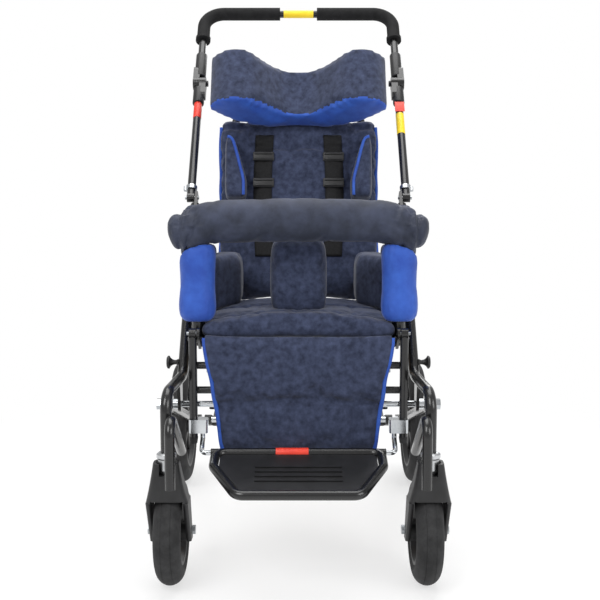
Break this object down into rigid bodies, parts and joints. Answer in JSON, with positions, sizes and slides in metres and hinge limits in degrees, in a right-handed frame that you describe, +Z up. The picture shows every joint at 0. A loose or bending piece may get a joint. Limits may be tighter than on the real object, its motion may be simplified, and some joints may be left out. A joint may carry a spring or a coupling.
{
  "type": "special needs stroller",
  "caption": "Tubular folding push chair with swivel front casters, padded reclining seat with headrest, bumper bar and pommel, raising legrest and footrest.",
  "frame": {"origin": "on the floor under the middle of the footprint", "axes": "+Z up, +Y to the rear, +X to the child's left"},
  "size_m": [0.6386, 0.904, 1.1783],
  "materials": {
    "frame_black": "gloss black powder coat",
    "chrome": "polished",
    "caster_silver": "satin cast",
    "tyre_black": "matt solid rubber",
    "moulded_black": "fine moulded grain",
    "grip_foam": "ribbed foam",
    "cap_rubber": "matt",
    "navy_velour": "brushed pile",
    "blue_sleeve": "smooth woven",
    "strap_web": "woven webbing",
    "steel_pin": "zinc plated",
    "board": "plywood"
  },
  "bodies": {
    "chassis": {"side_frame_left": "frame_black", "side_frame_right": "frame_black", "caster_heads": "caster_silver", "rear_rails": "frame_black", "rear_struts": "frame_black", "pivot_rod": "chrome", "rear_axle": "chrome", "rear_cross_tube": "chrome", "brake_brackets": "moulded_black", "seat_frame": "frame_black", "legrest_pins": "steel_pin", "backrest_pins": "steel_pin", "handle_pins": "steel_pin", "seat_board": "board", "under_rod": "chrome", "seat_cushion": "navy_velour", "side_panels": "navy_velour", "hip_pads": "navy_velour", "arm_pads": "navy_velour"},
    "backrest": {"back_frame": "frame_black", "stalk_guide": "moulded_black", "back_cushion": "navy_velour", "back_wings": "navy_velour", "harness_straps": "strap_web"},
    "headrest_body": {"headrest": "navy_velour", "headrest_stalk": "chrome"},
    "legrest": {"legrest_tubes": "frame_black", "legrest_caps": "cap_rubber", "legrest_bars": "frame_black", "calf_pad": "navy_velour"},
    "footrest_slide": {"footrest_hangers": "chrome"},
    "footrest": {"foot_loop": "frame_black", "foot_plate": "moulded_black"},
    "push_handle": {"push_tubes": "frame_black"},
    "handlebar_body": {"handlebar": "frame_black", "hand_grips": "grip_foam"},
    "bumper": {"bumper_tube": "frame_black", "bumper_bolster": "navy_velour", "post_sleeves": "blue_sleeve"},
    "pommel_body": {"pommel": "navy_velour"},
    "caster_left": {"caster_fork_left": "moulded_black", "caster_axle_left": "steel_pin"},
    "front_wheel_left": {"front_tyre_left": "tyre_black", "front_rim_left": "moulded_black"},
    "rear_wheel_left": {"rear_tyre_left": "tyre_black", "rear_rim_left": "moulded_black"},
    "brake_left": {"brake_pedal_left": "moulded_black"},
    "knob_left": {"clamp_knob_left": "moulded_black"},
    "ring_left": {"lock_ring_left": "chrome"},
    "button_left": {"tilt_button_left": "moulded_black"},
    "caster_right": {"caster_fork_right": "moulded_black", "caster_axle_right": "steel_pin"},
    "front_wheel_right": {"front_tyre_right": "tyre_black", "front_rim_right": "moulded_black"},
    "rear_wheel_right": {"rear_tyre_right": "tyre_black", "rear_rim_right": "moulded_black"},
    "brake_right": {"brake_pedal_right": "moulded_black"},
    "knob_right": {"clamp_knob_right": "moulded_black"},
    "ring_right": {"lock_ring_right": "chrome"},
    "button_right": {"tilt_button_right": "moulded_black"}
  },
  "joints": [
    {"name": "caster_swivel_left", "type": "hinge", "parent": "chassis", "child": "caster_left", "pos_m": [0.235, -0.398, 0.225], "axis": [0, 0, 1], "continuous": true},
    {"name": "front_wheel_spin_left", "type": "hinge", "parent": "caster_left", "child": "front_wheel_left", "pos_m": [0.235, -0.338, 0.1], "axis": [1, 0, 0], "continuous": true},
    {"name": "rear_wheel_spin_left", "type": "hinge", "parent": "chassis", "child": "rear_wheel_left", "pos_m": [0.288, 0.302, 0.15], "axis": [1, 0, 0], "continuous": true},
    {"name": "brake_press_left", "type": "hinge", "parent": "chassis", "child": "brake_left", "pos_m": [0.2, 0.302, 0.15], "axis": [-1, 0, 0], "range_deg": [0, 20]},
    {"name": "clamp_turn_left", "type": "hinge", "parent": "chassis", "child": "knob_left", "pos_m": [0.24, -0.232, 0.39591], "axis": [1, 0, 0], "range_deg": [0, 270]},
    {"name": "lock_ring_slide_left", "type": "slide", "parent": "push_handle", "child": "ring_left", "axis": [0, 0.6347, 0.7727], "range_m": [0, 0.03]},
    {"name": "tilt_button_press_left", "type": "slide", "parent": "push_handle", "child": "button_left", "axis": [1, 0, 0], "range_m": [0, 0.004], "stiffness_N_per_m": 800},
    {"name": "caster_swivel_right", "type": "hinge", "parent": "chassis", "child": "caster_right", "pos_m": [-0.235, -0.398, 0.225], "axis": [0, 0, 1], "continuous": true},
    {"name": "front_wheel_spin_right", "type": "hinge", "parent": "caster_right", "child": "front_wheel_right", "pos_m": [-0.235, -0.338, 0.1], "axis": [1, 0, 0], "continuous": true},
    {"name": "rear_wheel_spin_right", "type": "hinge", "parent": "chassis", "child": "rear_wheel_right", "pos_m": [-0.288, 0.302, 0.15], "axis": [1, 0, 0], "continuous": true},
    {"name": "brake_press_right", "type": "hinge", "parent": "chassis", "child": "brake_right", "pos_m": [-0.2, 0.302, 0.15], "axis": [-1, 0, 0], "range_deg": [0, 20]},
    {"name": "clamp_turn_right", "type": "hinge", "parent": "chassis", "child": "knob_right", "pos_m": [-0.24, -0.232, 0.39591], "axis": [-1, 0, 0], "range_deg": [0, 270]},
    {"name": "lock_ring_slide_right", "type": "slide", "parent": "push_handle", "child": "ring_right", "axis": [0, 0.6347, 0.7727], "range_m": [0, 0.03]},
    {"name": "tilt_button_press_right", "type": "slide", "parent": "push_handle", "child": "button_right", "axis": [-1, 0, 0], "range_m": [0, 0.004], "stiffness_N_per_m": 800},
    {"name": "backrest_recline", "type": "hinge", "parent": "chassis", "child": "backrest", "pos_m": [0, 0.136, 0.446], "axis": [1, 0, 0], "range_deg": [-35, 0]},
    {"name": "headrest_height", "type": "slide", "parent": "backrest", "child": "headrest_body", "axis": [0, 0.2419, 0.9703], "range_m": [0, 0.06]},
    {"name": "legrest_raise", "type": "hinge", "parent": "chassis", "child": "legrest", "pos_m": [0, -0.26, 0.456], "axis": [-1, 0, 0], "range_deg": [0, 65]},
    {"name": "footrest_height", "type": "slide", "parent": "legrest", "child": "footrest_slide", "axis": [0, 0, 1], "range_m": [0, 0.04]},
    {"name": "footrest_flip", "type": "hinge", "parent": "footrest_slide", "child": "footrest", "pos_m": [0, -0.288, 0.232], "axis": [-1, 0, 0], "range_deg": [0, 80]},
    {"name": "handle_fold", "type": "hinge", "parent": "chassis", "child": "push_handle", "pos_m": [0, 0.026, 0.71], "axis": [-1, 0, 0], "range_deg": [0, 100]},
    {"name": "handlebar_tilt", "type": "hinge", "parent": "push_handle", "child": "handlebar_body", "pos_m": [0, 0.24435, 0.97582], "axis": [1, 0, 0], "range_deg": [-45, 45]},
    {"name": "bumper_lift", "type": "slide", "parent": "chassis", "child": "bumper", "axis": [0, 0, 1], "range_m": [0, 0.08]},
    {"name": "pommel_lift", "type": "slide", "parent": "chassis", "child": "pommel_body", "axis": [0, 0, 1], "range_m": [0, 0.05]}
  ]
}
